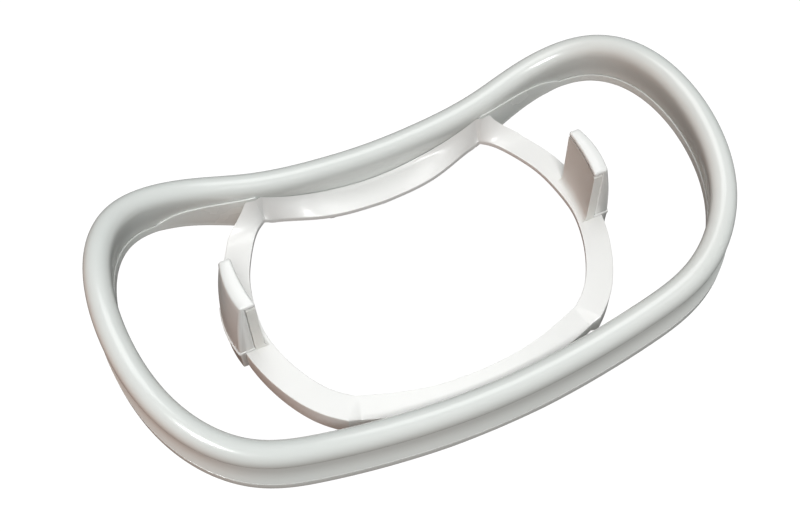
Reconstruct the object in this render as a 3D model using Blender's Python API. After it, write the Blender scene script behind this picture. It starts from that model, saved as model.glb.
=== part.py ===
"""Cheek retractor: a bean-shaped lip rim on a base loop, a flat inner ring and two capped bite posts.

Metres, +Z up. The origin is on the resting plane, under the middle of the object's box.
+X runs along the long side and +Y points to the notched side of the rim.
"""

import functools
import math

import bmesh
import bpy
import numpy as np

MM = 0.001

# Overall sizes
RIM_LENGTH = 107.8 * MM  # of the rim's centre line, end to end
RIM_WIDTH = 56.4 * MM  # of the rim's centre line, notch side to chin side
RIM_HEIGHT = 10.0 * MM  # from the underside of the base strip to the top of the bead
END_RISE = 12.4 * MM  # how far the two ends curve up to follow the face
END_RISE_SQUARE_SHARE = 0.575  # of that rise; the rest goes with the fourth power
FAR_LIFT = 3.7 * MM  # how much higher the rim's foot is on the notch side
FIT_GAP = 0.3 * MM  # between pieces that touch

# Lip rim section, measured outwards from the centre line
BEAD_RADIUS = 2.25 * MM
OUTER_FOOT = 2.45 * MM
INNER_FOOT = 1.25 * MM
OUTER_WAIST = 1.5 * MM
WAIST_SHARE = 0.55  # height of the waist, as a share of the way up to the bead's middle
RIM_CORE_WALL = 0.85 * MM  # on both sides of the slot for the tongue
RIM_CORE_TAPER = 0.3 * MM  # how much thicker the walls are at the slot's mouth
RIM_CORE_SHARE = 0.6  # height of the slot, as a share of the way up to the bead's middle

# Base strip with the tongue that plugs into the rim
STRIP_HEIGHT = 1.4 * MM
REST_DEPTH = 0.2 * MM  # the strip reaches this far below the rim's foot, which leaves a flat to rest on
TONGUE_HEIGHT = 2.2 * MM
TONGUE_INNER = 0.2 * MM  # outwards from the centre line
TONGUE_ROOT = 0.85 * MM
TONGUE_TIP = 0.62 * MM
LEAST_LEDGE = 0.8 * MM  # thickness of the strip's reach under the ring
NEAR_LEDGE_DEPTH = 3.2 * MM  # how far the strip reaches under the ring's near band
NEAR_LEDGE_END = 21.0 * MM  # from the middle
FAR_LEDGE_DEPTH = 1.6 * MM
FAR_LEDGE_TOP = 2.4 * MM
FAR_FOOT_END = 12.0 * MM  # from the middle, where the notch side stops touching the table
FAR_FOOT_RISE = 6.0 * MM  # the length over which it then rises to the rim
GUSSET_START = 25.0 * MM  # from the middle, just outside the ring
GUSSET_END = 42.0 * MM
GUSSET_LOW = 2.0 * MM  # lowest height of the gusset, beside the ring
GUSSET_TOP = 12.1 * MM
GUSSET_FLANGE = 0.5 * MM  # thickness of the gusset's lip inside the rim
GUSSET_EDGE = 0.6 * MM  # the length over which the lip reaches that thickness, at the ring
GUSSET_TAPER = 3.0 * MM  # and over which it runs out at its other end

# Inner ring
RING_LENGTH = 61.0 * MM  # clear opening, end to end
RING_TOP = 6.4 * MM
RING_THICKNESS = 1.0 * MM
SKIRT_THICKNESS = 1.2 * MM
SKIRT_BOTTOM = 2.0 * MM
SKIRT_RAISED = 4.7 * MM  # its height on the notch side, near the two corners
BAND_WIDTH = 4.8 * MM
CORNER_NARROWING = 0.5  # share of the side arc's width that it loses towards its notch-side corner
CORNER_REACH = 6.0 * MM  # over this length
NEAR_BAND_WIDTH = 4.2 * MM
NEAR_BAND_DROP = 0.8 * MM  # its outer edge is lower than its inner edge
FAR_BAND_DROP = 0.6 * MM  # its inner edge is lower than the arcs
FAR_BAND_MIDDLE = 5.8 * MM  # height where it meets the rim, in the middle
FAR_BAND_END = 11.6 * MM  # and at the two corners
CORNER_BLEND = 2.0 * MM  # from the corner, where the far band turns from hollow to straight
CURL_REACH = 5.5 * MM  # from the wall, where the side arcs begin to curl up to it
SIDE_SHARE = 0.6  # of half its length, beyond which the ring is a side arc

# Bite posts
POST_TOP = 20.3 * MM
POST_LENGTH = 10.4 * MM
POST_MIDDLE_Y = 2.6 * MM
POST_SETBACK = 1.3 * MM  # from the ring's inner edge
POST_SLANT = 0.35 * MM
CAP_THICKNESS = 1.0 * MM
CORE_THICKNESS = 1.1 * MM
POST_FOOT = 0.6 * MM  # how far the foot stands out past the ring
POST_TOP_INSET = 1.35 * MM  # how far the top stands in from the ring's outer edge
POST_BULGE = 0.7 * MM
HOOK_DROP = 4.1 * MM
CORE_FOOT_REACH = 0.8 * MM  # of the hollow foot on the inner face
CORE_FOOT_HEIGHT = 1.6 * MM
PLATE_OVERHANG = 0.1 * MM  # of the cap's top over the inner face
FLANGE_PROUD = 0.2 * MM  # round the foot of the cap
FLANGE_HEIGHT = 0.6 * MM
WALL_SWELL = 0.15 * MM
CORE_EDGE = 0.15 * MM
CAP_EDGE = 0.25 * MM

RIM_STEPS = 128
WALL_STEPS = 512
POST_SECTIONS = 7
WALL_HALVINGS = 20
RING_STEPS_PER_SPAN = 4
BAND_SHARES = (0.0, 0.4, 0.65, 0.85, 1.0)  # points across the ring's top, from its inner edge

# Outline of the rim's centre line, as shares of half its length and half its width, +X half
RIM_OUTLINE = (
    (0.0, 0.883),
    (0.19, 0.894),
    (0.432, 0.936),
    (0.655, 1.0),
    (0.863, 0.904),
    (1.0, 0.436),
    (0.968, -0.426),
    (0.787, -0.823),
    (0.571, -0.922),
    (0.298, -0.972),
    (0.0, -0.996),
)

# Inner edge of the ring, as shares of half its length and half the rim's width, +X half
RING_FAR_EDGE = ((0.0, 0.632), (0.23, 0.65), (0.43, 0.7), (0.64, 0.785), (0.73, 0.808))
RING_SIDE_EDGE = (
    (0.73, 0.808),
    (0.80, 0.742),
    (0.898, 0.564),
    (0.967, 0.365),
    (1.0, 0.1),
    (0.994, -0.035),
    (0.938, -0.255),
    (0.807, -0.511),
    (0.685, -0.631),
)
RING_NEAR_EDGE = ((0.685, -0.631), (0.557, -0.681), (0.292, -0.759), (0.0, -0.784))


def clear_scene():
    for item in list(bpy.data.objects):
        bpy.data.objects.remove(item, do_unlink=True)


def spline(points, closed):
    """Cubic curve through the points: returns a function of a share 0..1."""
    points = np.asarray(points, float)
    if closed:
        points = np.vstack([points, points[:1]])
    steps = np.linalg.norm(np.diff(points, axis=0), axis=1) ** 0.5
    knots = np.concatenate([[0.0], np.cumsum(steps)])
    count = len(points)
    system = np.zeros((count, count))
    right = np.zeros((count, points.shape[1]))
    slopes = np.diff(points, axis=0) / steps[:, None]
    for i in range(1, count - 1):
        system[i, i - 1 : i + 2] = steps[i - 1], 2 * (steps[i - 1] + steps[i]), steps[i]
        right[i] = 6 * (slopes[i] - slopes[i - 1])
    if closed:
        system[0, 0], system[0, -1] = 1, -1
        system[-1, 0], system[-1, 1] = 2 * (steps[0] + steps[-1]), steps[0]
        system[-1, -2] = steps[-1]
        right[-1] = 6 * (slopes[0] - slopes[-1])
    else:
        system[0, 0] = system[-1, -1] = 1
    bends = np.linalg.solve(system, right)

    def at(share):
        place = np.asarray(share, float) * knots[-1]
        span = np.clip(np.searchsorted(knots, place, side="right") - 1, 0, count - 2)
        size = steps[span][:, None]
        low = (knots[span + 1] - place)[:, None]
        high = (place - knots[span])[:, None]
        bend = bends[span] * low**3 + bends[span + 1] * high**3
        first = (points[span] / size - bends[span] * size / 6) * low
        last = (points[span + 1] / size - bends[span + 1] * size / 6) * high
        return bend / (6 * size) + first + last

    return at


@functools.lru_cache(maxsize=None)
def rim_path(steps):
    """Points of the rim's centre line, evenly spaced, and the outward direction at each."""
    half = np.array([RIM_LENGTH / 2, RIM_WIDTH / 2])
    right = np.array(RIM_OUTLINE) * half
    left = right[1:-1][::-1] * [-1, 1]
    curve = spline(np.vstack([right, left]), closed=True)
    fine = curve(np.linspace(0, 1, 40 * steps + 1))
    fine[:, 0] *= half[0] / fine[:, 0].max()
    run = np.concatenate([[0.0], np.cumsum(np.linalg.norm(np.diff(fine, axis=0), axis=1))])
    even = np.linspace(0, run[-1], steps, endpoint=False)
    points = np.stack([np.interp(even, run, fine[:, k]) for k in (0, 1)], axis=1)
    along = np.roll(points, -1, axis=0) - np.roll(points, 1, axis=0)
    along /= np.linalg.norm(along, axis=1)[:, None]
    return points, np.stack([-along[:, 1], along[:, 0]], axis=1)


def foot_height(x, y):
    """Height of the rim's underside: bowed up to both ends and lifted on the notch side."""
    share = 2 * x / RIM_LENGTH
    bow = END_RISE_SQUARE_SHARE * share**2 + (1 - END_RISE_SQUARE_SHARE) * share**4
    return END_RISE * bow + FAR_LIFT * (y / RIM_WIDTH + 0.5)


def ramp(value, low, high):
    """0 below low, 1 above high, with a smooth step between."""
    share = min(max((value - low) / (high - low), 0.0), 1.0)
    return share * share * (3 - 2 * share)


def add_object(name, vertices, faces, material, sharp_degrees=40):
    mesh = bpy.data.meshes.new(name)
    mesh.from_pydata([tuple(map(float, v)) for v in vertices], [], faces)
    work = bmesh.new()
    work.from_mesh(mesh)
    bmesh.ops.remove_doubles(work, verts=work.verts, dist=0.001 * MM)
    bmesh.ops.recalc_face_normals(work, faces=work.faces)
    work.to_mesh(mesh)
    work.free()
    for face in mesh.polygons:
        face.use_smooth = True
    mesh.set_sharp_from_angle(angle=math.radians(sharp_degrees))
    mesh.materials.append(material)
    item = bpy.data.objects.new(name, mesh)
    bpy.context.scene.collection.objects.link(item)
    return item


def strip_faces(sections, points, closed):
    """Quads between neighbouring sections. The last joins the first if closed; if not, each end is capped."""
    faces = []
    for i in range(sections if closed else sections - 1):
        here, there = i * points, (i + 1) % sections * points
        for j in range(points):
            beside = (j + 1) % points
            faces.append((here + j, here + beside, there + beside, there + j))
    if not closed:
        faces.append(tuple(range(points)))
        faces.append(tuple((sections - 1) * points + j for j in range(points)))
    return faces


def wall_lean(rise):
    """How far the rim's inner wall leans in at this height over the rim's foot, on its way up to the bead."""
    return (BEAD_RADIUS - INNER_FOOT) * ramp(rise, STRIP_HEIGHT, RIM_HEIGHT - BEAD_RADIUS)


def rim_section():
    """(outward, up) points of the hollow lip rim: outer wall, bead, inner wall, then the slot."""
    bottom = STRIP_HEIGHT + FIT_GAP
    centre = RIM_HEIGHT - BEAD_RADIUS
    section = [(OUTER_FOOT, bottom)]
    for share in (0.35, 0.7, 1.0):
        flare = OUTER_WAIST + (OUTER_FOOT - OUTER_WAIST) * (1 - share) ** 2
        section.append((flare, bottom + share * WAIST_SHARE * (centre - bottom)))
    for degrees in range(-45, 181, 25):
        angle = math.radians(degrees)
        section.append((BEAD_RADIUS * math.cos(angle), centre + BEAD_RADIUS * math.sin(angle)))
    for share in (0.75, 0.5, 0.25, 0.0):
        up = bottom + share * (centre - bottom)
        section.append((-INNER_FOOT - wall_lean(up), up))
    roof = bottom + RIM_CORE_SHARE * (centre - bottom)
    section.append((-INNER_FOOT + RIM_CORE_WALL + RIM_CORE_TAPER, bottom))
    section.append((-INNER_FOOT + RIM_CORE_WALL, roof))
    section.append((OUTER_WAIST - RIM_CORE_WALL, roof))
    section.append((OUTER_FOOT - RIM_CORE_WALL - RIM_CORE_TAPER, bottom))
    return section


def make_rim_shell(material):
    points, outward = rim_path(RIM_STEPS)
    section = rim_section()
    vertices = []
    for (x, y), (out_x, out_y) in zip(points, outward):
        foot = foot_height(x, y)
        for across, up in section:
            vertices.append((x + across * out_x, y + across * out_y, foot + up))
    add_object("rim_shell", vertices, strip_faces(RIM_STEPS, len(section), closed=True), material, 50)


def base_bottom(x, y):
    """Lowest height of the base. The notch side comes down to the table in the middle and in each gusset."""
    foot = max(foot_height(x, y) - REST_DEPTH, 0.0)
    if y < 0 or abs(x) > GUSSET_END:
        return foot
    if abs(x) < GUSSET_START:
        return foot * ramp(abs(x), FAR_FOOT_END, FAR_FOOT_END + FAR_FOOT_RISE)
    end = foot_height(GUSSET_END, y) - REST_DEPTH
    share = (abs(x) - GUSSET_START) / (GUSSET_END - GUSSET_START)
    return min(foot, GUSSET_LOW + share * (end - GUSSET_LOW))


def gusset_share(x, y):
    """How far the gusset's inner lip stands in from the rim: 0 none, 1 in full."""
    if y < 0:
        return 0.0
    start = ramp(abs(x), GUSSET_START - GUSSET_EDGE, GUSSET_START)
    return start * (1 - ramp(abs(x), GUSSET_END - GUSSET_TAPER, GUSSET_END))


def ledge_depth(x, y):
    """How far the base reaches in under the ring."""
    if y > 0:
        return FAR_LEDGE_DEPTH * (1 - ramp(abs(x), FAR_FOOT_END - GUSSET_TAPER, FAR_FOOT_END))
    return NEAR_LEDGE_DEPTH * (1 - ramp(abs(x), NEAR_LEDGE_END - GUSSET_TAPER, NEAR_LEDGE_END))


def base_section(x, y):
    """(outward, up) points of the base here: strip, tongue, the gusset's lip and the ledge under the ring."""
    foot = foot_height(x, y)
    low = base_bottom(x, y)
    top = foot + STRIP_HEIGHT
    share = gusset_share(x, y)
    lip_outer = -INNER_FOOT - (FIT_GAP if share > 0 else 0.0)
    lip_inner = lip_outer - GUSSET_FLANGE * share
    lip_top = max(top, GUSSET_TOP) if share > 0 else top
    lean = wall_lean(lip_top - foot)
    ledge_inner = lip_inner - ledge_depth(x, y)
    ledge_top = min(max(FAR_LEDGE_TOP, low + LEAST_LEDGE), top) if y > 0 else top
    return (
        (OUTER_FOOT, low),
        (OUTER_FOOT, top),
        (TONGUE_ROOT, top),
        (TONGUE_TIP, top + TONGUE_HEIGHT),
        (TONGUE_INNER, top + TONGUE_HEIGHT),
        (TONGUE_INNER, top),
        (lip_outer, top),
        (lip_outer - lean, lip_top),
        (lip_inner - lean, lip_top),
        (lip_inner, ledge_top),
        (ledge_inner, ledge_top),
        (ledge_inner, low),
    )


def make_base_loop(material):
    points, outward = rim_path(RIM_STEPS)
    vertices = []
    for (x, y), (out_x, out_y) in zip(points, outward):
        section = base_section(x, y)
        vertices += [(x + across * out_x, y + across * out_y, up) for across, up in section]
    add_object("base_loop", vertices, strip_faces(RIM_STEPS, len(section), closed=True), material, 30)


def wall_y(x, side, inset):
    """Where the wall inside the rim is at this x, on the notch (+1) or chin (-1) side, moved in by inset."""
    points, outward = rim_path(WALL_STEPS)
    inner = points - (INNER_FOOT + inset) * outward
    chosen = inner[inner[:, 1] * side > 0]
    chosen = chosen[np.argsort(chosen[:, 0])]
    return float(np.interp(x, chosen[:, 0], chosen[:, 1]))


def ring_edge():
    """Inner edge of the ring on the +X half, with its outward direction and what kind of stretch it is."""
    half = np.array([RING_LENGTH / 2, RIM_WIDTH / 2])
    stations = []
    edges = {"far": RING_FAR_EDGE, "side": RING_SIDE_EDGE, "near": RING_NEAR_EDGE}
    for kind, share_points in edges.items():
        curve = spline(np.array(share_points) * half, closed=False)
        count = RING_STEPS_PER_SPAN * (len(share_points) - 1)
        points = curve(np.linspace(0, 1, count + 1))
        along = np.gradient(points, axis=0)
        along /= np.linalg.norm(along, axis=1)[:, None]
        for point, direction in zip(points, along):
            stations.append((kind, point, np.array([-direction[1], direction[0]])))
    return stations


def band_top(x):
    """Height of the ring where it meets the rim's wall on the notch side."""
    corner_x = RING_FAR_EDGE[-1][0] * RING_LENGTH / 2
    return FAR_BAND_MIDDLE + (FAR_BAND_END - FAR_BAND_MIDDLE) * min(abs(x) / corner_x, 1.0) ** 2


def far_wall(x):
    """Where the ring stops short of the rim's wall and of the gusset's lip, on the notch side."""
    beside_lip = ramp(abs(x), GUSSET_START - GUSSET_TAPER, GUSSET_START - GUSSET_EDGE)
    beside_lip *= 1 - ramp(abs(x), GUSSET_END - GUSSET_TAPER, GUSSET_END)
    top = band_top(x) + (GUSSET_TOP - FAR_BAND_END) * beside_lip
    lean = wall_lean(top - foot_height(x, wall_y(x, 1, 0.0)))
    return wall_y(x, 1, FIT_GAP + (FIT_GAP + GUSSET_FLANGE) * beside_lip + lean)


def curl(point):
    """How far up its curl a point of the ring is: 0 where it is flat, 1 at the wall."""
    reach = far_wall(point[0]) - point[1]
    return max(0.0, 1 - reach / CURL_REACH) ** 2


def ring_section(inner, outer, heights, skirt):
    """Points of one cut through the ring: its top from the inner edge out, its skirt and its underside."""
    tops = [(inner + share * (outer - inner), up) for share, up in zip(BAND_SHARES, heights)]
    width = np.linalg.norm(outer - inner)
    skirt_share = 1 - min(SKIRT_THICKNESS / width, 0.35)
    inside = inner + skirt_share * (outer - inner)
    under = float(np.interp(skirt_share, BAND_SHARES, heights)) - RING_THICKNESS
    return tops + [(outer, skirt), (inside, skirt), (inside, under), (inner, heights[0] - RING_THICKNESS)]


def far_section(point, corner_x):
    """The ring on the notch side: it slopes up from its inner edge to the rim's wall."""
    from_corner = corner_x - point[0]
    low = RING_TOP - FAR_BAND_DROP * ramp(from_corner, 0.0, CORNER_BLEND)
    high = band_top(point[0])
    hollow = 1 - ramp(from_corner, 0.0, CORNER_BLEND)
    heights = [low + (high - low) * (hollow * s**3 + (1 - hollow) * s) for s in BAND_SHARES]
    foot_end = FAR_FOOT_END + FAR_FOOT_RISE
    skirt = FAR_LEDGE_TOP + FIT_GAP
    skirt += (SKIRT_RAISED - skirt) * ramp(point[0], FAR_FOOT_END, foot_end)
    return ring_section(point, np.array([point[0], far_wall(point[0])]), heights, skirt)


def reach_to_wall(point, outward, most):
    """How far outwards the ring goes from this point before it meets the wall on the notch side."""
    low, high = 0.0, most
    for _ in range(WALL_HALVINGS):
        middle = (low + high) / 2
        x, y = point + middle * outward
        low, high = (middle, high) if y < far_wall(x) else (low, middle)
    return high


def side_section(point, outward):
    """The ring's side arc: flat, with its outer part curled up where it meets the rim's wall."""
    far_corner = np.array(RING_SIDE_EDGE[0]) * [RING_LENGTH / 2, RIM_WIDTH / 2]
    nearness = 1 - ramp(np.linalg.norm(point - far_corner), 0.0, CORNER_REACH)
    width = BAND_WIDTH * (1 - CORNER_NARROWING * nearness)
    outer = point + reach_to_wall(point, outward, width) * outward
    rise = FAR_BAND_END - RING_TOP
    start = curl(point)
    heights = []
    for share in BAND_SHARES:
        lift = (curl(point + share * (outer - point)) - start) / (1 - start)
        heights.append(RING_TOP + rise * max(lift, 0.0))
    skirt = SKIRT_BOTTOM + (SKIRT_RAISED - SKIRT_BOTTOM) * ramp(curl(outer), 0.4, 0.8)
    return ring_section(point, outer, heights, skirt)


def near_section(point, outward):
    """The ring on the chin side: its outer edge is a little lower, and stands on the base beside the rim."""
    lean = wall_lean(RING_TOP - foot_height(point[0], -RIM_WIDTH / 2))
    reach = (wall_y(point[0], -1, FIT_GAP + lean) - point[1]) / outward[1]
    outer = point + min(NEAR_BAND_WIDTH, reach) * outward
    heights = [RING_TOP - NEAR_BAND_DROP * share for share in BAND_SHARES]
    return ring_section(point, outer, heights, foot_height(*outer) + STRIP_HEIGHT + FIT_GAP)


def ring_sections():
    """Sections of the ring on the +X half, from the notch side round to the chin side."""
    far, side, near = [], [], []
    corner_x = RING_FAR_EDGE[-1][0] * RING_LENGTH / 2
    for kind, point, outward in ring_edge():
        if kind == "far":
            far.append(far_section(point, corner_x))
        elif kind == "side":
            side.append(side_section(point, outward))
        else:
            near.append(near_section(point, outward))
    near_skirt = near[1][len(BAND_SHARES)][1]
    side[-1][len(BAND_SHARES)] = (side[-1][len(BAND_SHARES)][0], near_skirt)
    side[-1][len(BAND_SHARES) + 1] = (side[-1][len(BAND_SHARES) + 1][0], near_skirt)
    return far[:-1] + side + near[1:]


def make_guide_ring(material):
    right = ring_sections()
    left = right[1:-1][::-1]
    vertices = []
    for section, mirror in [(s, 1) for s in right] + [(s, -1) for s in left]:
        for point, up in section:
            vertices.append((mirror * point[0], point[1], up))
    faces = strip_faces(len(right) + len(left), len(right[0]), closed=True)
    add_object("guide_ring", vertices, faces, material, 25)


@functools.lru_cache(maxsize=None)
def ring_side_edges():
    """Inner and outer edge of the ring's side arc, as (y, x) points in order of y."""
    side = [s for s in ring_sections() if s[0][0][0] > SIDE_SHARE * RING_LENGTH / 2]
    rim = len(BAND_SHARES) - 1
    return sorted((s[0][0][1], s[0][0][0]) for s in side), sorted((s[rim][0][1], s[rim][0][0]) for s in side)


def ring_side_x(y):
    """Inner and outer x of the ring's side arc at this y."""
    return tuple(float(np.interp(y, *zip(*edge))) for edge in ring_side_edges())


def post_stations():
    """(y, inner face x, outer x at the foot, outer x at the top) along a post, near end to far end."""
    ring_inner, ring_outer = ring_side_x(POST_MIDDLE_Y)
    stations = []
    for share in np.linspace(-1, 1, POST_SECTIONS):
        y = POST_MIDDLE_Y + share * POST_LENGTH / 2
        bulge = POST_BULGE * (1 - share**2)
        inner = ring_inner + POST_SETBACK + POST_SLANT * share + bulge / 2
        stations.append((y, inner, ring_outer + POST_FOOT + bulge, ring_outer - POST_TOP_INSET + bulge))
    return stations


def add_post_piece(name, sections, side, material, edge):
    vertices = [(side * x, y, z) for y, section in sections for x, z in section]
    faces = strip_faces(len(sections), len(sections[0][1]), closed=False)
    piece = add_object(name, vertices, faces, material, 40)
    rounding = piece.modifiers.new("rounded_edges", "BEVEL")
    rounding.width = edge
    rounding.segments = 2
    rounding.limit_method = "ANGLE"
    rounding.angle_limit = math.radians(35)


def make_post_core(name, side, material):
    bottom = RING_TOP + FIT_GAP
    top = POST_TOP - CAP_THICKNESS - FIT_GAP
    sections = []
    for y, inner, _, _ in post_stations():
        section = (
            (inner - CORE_FOOT_REACH, bottom),
            (inner - 0.75 * CORE_FOOT_REACH, bottom + 0.25 * CORE_FOOT_HEIGHT),
            (inner, bottom + CORE_FOOT_HEIGHT),
            (inner, top),
            (inner + CORE_THICKNESS, top),
            (inner + CORE_THICKNESS, bottom),
        )
        sections.append((y, section))
    add_post_piece(name, sections, side, material, CORE_EDGE)


def cap_section(y, inner, foot, top):
    """(x, z) points of the cap: its top plate, its inner side, the hook round the ring and its outer wall."""
    under = POST_TOP - CAP_THICKNESS
    bottom = RING_TOP + FIT_GAP
    hook_inner = ring_side_x(y)[1] + FIT_GAP
    hook_end = RING_TOP - HOOK_DROP
    flange = foot + FLANGE_PROUD
    return (
        (inner - PLATE_OVERHANG, under),
        (inner + CORE_THICKNESS + FIT_GAP, under),
        (inner + CORE_THICKNESS + FIT_GAP, bottom),
        (hook_inner, bottom),
        (hook_inner, hook_end),
        (foot - 0.5 * FLANGE_PROUD, hook_end),
        (foot, bottom - FLANGE_PROUD),
        (flange, bottom + 0.5 * FLANGE_PROUD),
        (flange, bottom + FLANGE_HEIGHT),
        (foot, bottom + FLANGE_HEIGHT + FLANGE_PROUD),
        (0.5 * (foot + top) + WALL_SWELL, 0.5 * (bottom + POST_TOP)),
        (top, POST_TOP - 2 * WALL_SWELL),
        (top - 2 * WALL_SWELL, POST_TOP),
        (inner - PLATE_OVERHANG, POST_TOP),
    )


def make_post_cap(name, side, material):
    sections = [(station[0], cap_section(*station)) for station in post_stations()]
    add_post_piece(name, sections, side, material, CAP_EDGE)


def plastic(name, colour, roughness):
    material = bpy.data.materials.new(name)
    material.use_nodes = True
    shader = material.node_tree.nodes["Principled BSDF"]
    shader.inputs["Base Color"].default_value = (*colour, 1.0)
    shader.inputs["Roughness"].default_value = roughness
    return material


def main():
    clear_scene()
    make_rim_shell(plastic("rim_plastic", (0.83, 0.85, 0.82), 0.25))
    make_base_loop(plastic("base_plastic", (0.80, 0.82, 0.79), 0.3))
    make_guide_ring(plastic("ring_plastic", (0.84, 0.85, 0.83), 0.3))
    for name, side in (("left", -1), ("right", 1)):
        core_plastic = plastic(name + "_core_plastic", (0.78, 0.80, 0.77), 0.3)
        cap_plastic = plastic(name + "_cap_plastic", (0.84, 0.85, 0.83), 0.25)
        make_post_core(name + "_post_core", side, core_plastic)
        make_post_cap(name + "_post_cap", side, cap_plastic)


main()
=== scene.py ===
"""Cheek retractor: lip rim, base loop, guide ring and two capped bite posts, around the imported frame."""

import math

import bmesh
import bpy
import numpy as np
from mathutils import Matrix, Vector


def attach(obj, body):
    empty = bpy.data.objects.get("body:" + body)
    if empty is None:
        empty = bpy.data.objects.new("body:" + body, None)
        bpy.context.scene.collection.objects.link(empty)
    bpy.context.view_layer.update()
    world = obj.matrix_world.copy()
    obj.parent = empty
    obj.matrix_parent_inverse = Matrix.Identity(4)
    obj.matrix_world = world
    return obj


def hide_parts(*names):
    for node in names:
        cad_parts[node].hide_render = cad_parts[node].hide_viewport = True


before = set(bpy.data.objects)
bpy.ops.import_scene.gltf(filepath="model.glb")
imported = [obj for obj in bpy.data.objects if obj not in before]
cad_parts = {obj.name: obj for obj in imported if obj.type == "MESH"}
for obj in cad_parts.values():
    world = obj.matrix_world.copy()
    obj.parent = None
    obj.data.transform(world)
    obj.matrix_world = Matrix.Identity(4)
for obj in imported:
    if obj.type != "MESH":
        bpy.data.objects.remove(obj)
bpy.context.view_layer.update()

MM = 0.001
WELD = 0.0005 * MM  # points nearer than this are one

# Lip rim, in millimetres turned to metres
RIM_LENGTH = 107.8 * MM
RIM_WIDTH = 56.4 * MM
RIM_HEIGHT = 10.0 * MM
END_RISE = 12.4 * MM
END_RISE_SQUARE_SHARE = 0.575  # the rest goes with the fourth power
FAR_LIFT = 3.7 * MM
SEAM = 0.03 * MM  # between mouldings that touch
BEAD_RADIUS = 2.25 * MM
OUTER_FOOT = 2.45 * MM
INNER_FOOT = 1.25 * MM
OUTER_WAIST = 1.5 * MM
RIM_CORE_WALL = 0.85 * MM
WAIST_SHARE = 0.55  # height of the waist, as a share of the way up to the bead
SLOT_SHARE = 0.6  # height of the slot's roof, as a share of the way up to the bead
SLOT_FLARE_INNER = 0.25 * MM
SLOT_FLARE_OUTER = 0.3 * MM
OUTER_CHAMFER = 0.15 * MM
INNER_CHAMFER = 0.12 * MM
PROFILE_STEPS = 84

# Base strip
STRIP_HEIGHT = 1.4 * MM
STRIP_PROUD = 0.16 * MM  # how far it stands proud of the rim's inner wall
STRIP_OVERHANG = 0.04 * MM  # and of the rim's outer foot
REST_DEPTH = 0.2 * MM
TONGUE_HEIGHT = 2.2 * MM
TONGUE_ROOT = (0.2 * MM, 0.85 * MM)  # inner and outer side
TONGUE_TIP = (0.22 * MM, 0.62 * MM)
NEAR_LEDGE_DEPTH = 3.2 * MM
NEAR_LEDGE_END = 21.0 * MM
FAR_LEDGE_DEPTH = 1.6 * MM
FAR_LEDGE_TOP = 2.4 * MM
LEDGE_THICKNESS = 0.8 * MM
LEDGE_STEP = 0.03 * MM
LEDGE_LEAST = 0.01 * MM
FAR_FOOT_END = 12.0 * MM
FAR_FOOT_RISE = 6.0 * MM
GUSSET_START = 22.4 * MM
GUSSET_END = 42.0 * MM
GUSSET_LOW = 2.0 * MM
GUSSET_TOP = 12.1 * MM
GUSSET_FLANGE = 0.3 * MM
GUSSET_EDGE = 0.6 * MM
GUSSET_TAPER = 3.0 * MM
LIP_SLOPE = 0.02 * MM
LIP_RISE = 4.0  # the lip is at its full height when it stands in by one part in this many

# Guide ring
RING_LENGTH = 61.0 * MM
RING_TOP = 6.4 * MM
RING_THICKNESS = 1.0 * MM
SKIRT_THICKNESS = 1.2 * MM
SKIRT_BOTTOM = 2.0 * MM
SKIRT_RAISED = 4.7 * MM
SKIRT_MOST_SHARE = 0.35  # of the ring's width
SKIRT_RISE_CURL = (0.4, 0.8)  # the skirt rises while the ring curls up between these shares
BAND_WIDTH = 4.8 * MM
CORNER_NARROWING = 0.5  # share of the side arc's width lost towards its notch-side corner
CORNER_REACH = 6.0 * MM
NEAR_BAND_WIDTH = 4.2 * MM
NEAR_BAND_DROP = 0.8 * MM
NEAR_CREASE = 0.5 * MM
FAR_BAND_DROP = 0.6 * MM
FAR_BAND_MIDDLE = 5.8 * MM
FAR_BAND_END = 11.6 * MM
CORNER_BLEND = 1.6 * MM
CURL_REACH = 5.5 * MM
CREASE_FILLET = 0.5 * MM  # the far band turns up this much where it meets the wall
CREASE_REACH = 0.9 * MM

# Bite posts
POST_TOP = 20.3 * MM
POST_LENGTH = 10.4 * MM
POST_MIDDLE_Y = 2.6 * MM
POST_SETBACK = 1.3 * MM
POST_SLANT = 0.35 * MM
CAP_THICKNESS = 1.0 * MM
CAP_GROOVE = 0.34 * MM
CORE_THICKNESS = 1.6 * MM
CORE_ROOT_REACH = 0.9 * MM
CORE_ROOT_HEIGHT = 1.7 * MM
CORE_ROOT_STEPS = 6
CAP_OVERHANG = 0.12 * MM
CAP_FOOT = 0.62 * MM  # over the ring
CAP_SWELL = 0.3 * MM
CAP_WALL_STEPS = 8
FLANGE_HEIGHT = 0.6 * MM
FLANGE_PROUD = 0.2 * MM
FLANGE_EDGE = 0.1 * MM
POST_FOOT = 0.6 * MM
POST_TOP_INSET = 1.35 * MM
POST_BULGE = 0.7 * MM
HOOK_DROP = 4.1 * MM
HOOK_THICKNESS = 0.3 * MM
HOOK_TAPER = 0.1 * MM
HOOK_SHOULDER = 0.2 * MM

# Outline of the rim's centre line, as shares of half its length and half its width, +X half
RIM_OUTLINE = (
    (0.0, 0.883),
    (0.19, 0.894),
    (0.432, 0.936),
    (0.655, 1.0),
    (0.863, 0.904),
    (1.0, 0.436),
    (0.968, -0.426),
    (0.787, -0.823),
    (0.571, -0.922),
    (0.298, -0.972),
    (0.0, -0.996),
)

# Inner edge of the ring, as shares of half its length and half the rim's width, +X half
RING_FAR_EDGE = ((0.0, 0.632), (0.23, 0.65), (0.43, 0.7), (0.64, 0.785), (0.73, 0.808))
RING_SIDE_EDGE = (
    (0.73, 0.808),
    (0.80, 0.742),
    (0.898, 0.564),
    (0.967, 0.365),
    (1.0, 0.1),
    (0.994, -0.035),
    (0.938, -0.255),
    (0.807, -0.511),
    (0.685, -0.631),
)
RING_NEAR_EDGE = ((0.685, -0.631), (0.557, -0.681), (0.292, -0.759), (0.0, -0.784))

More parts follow.
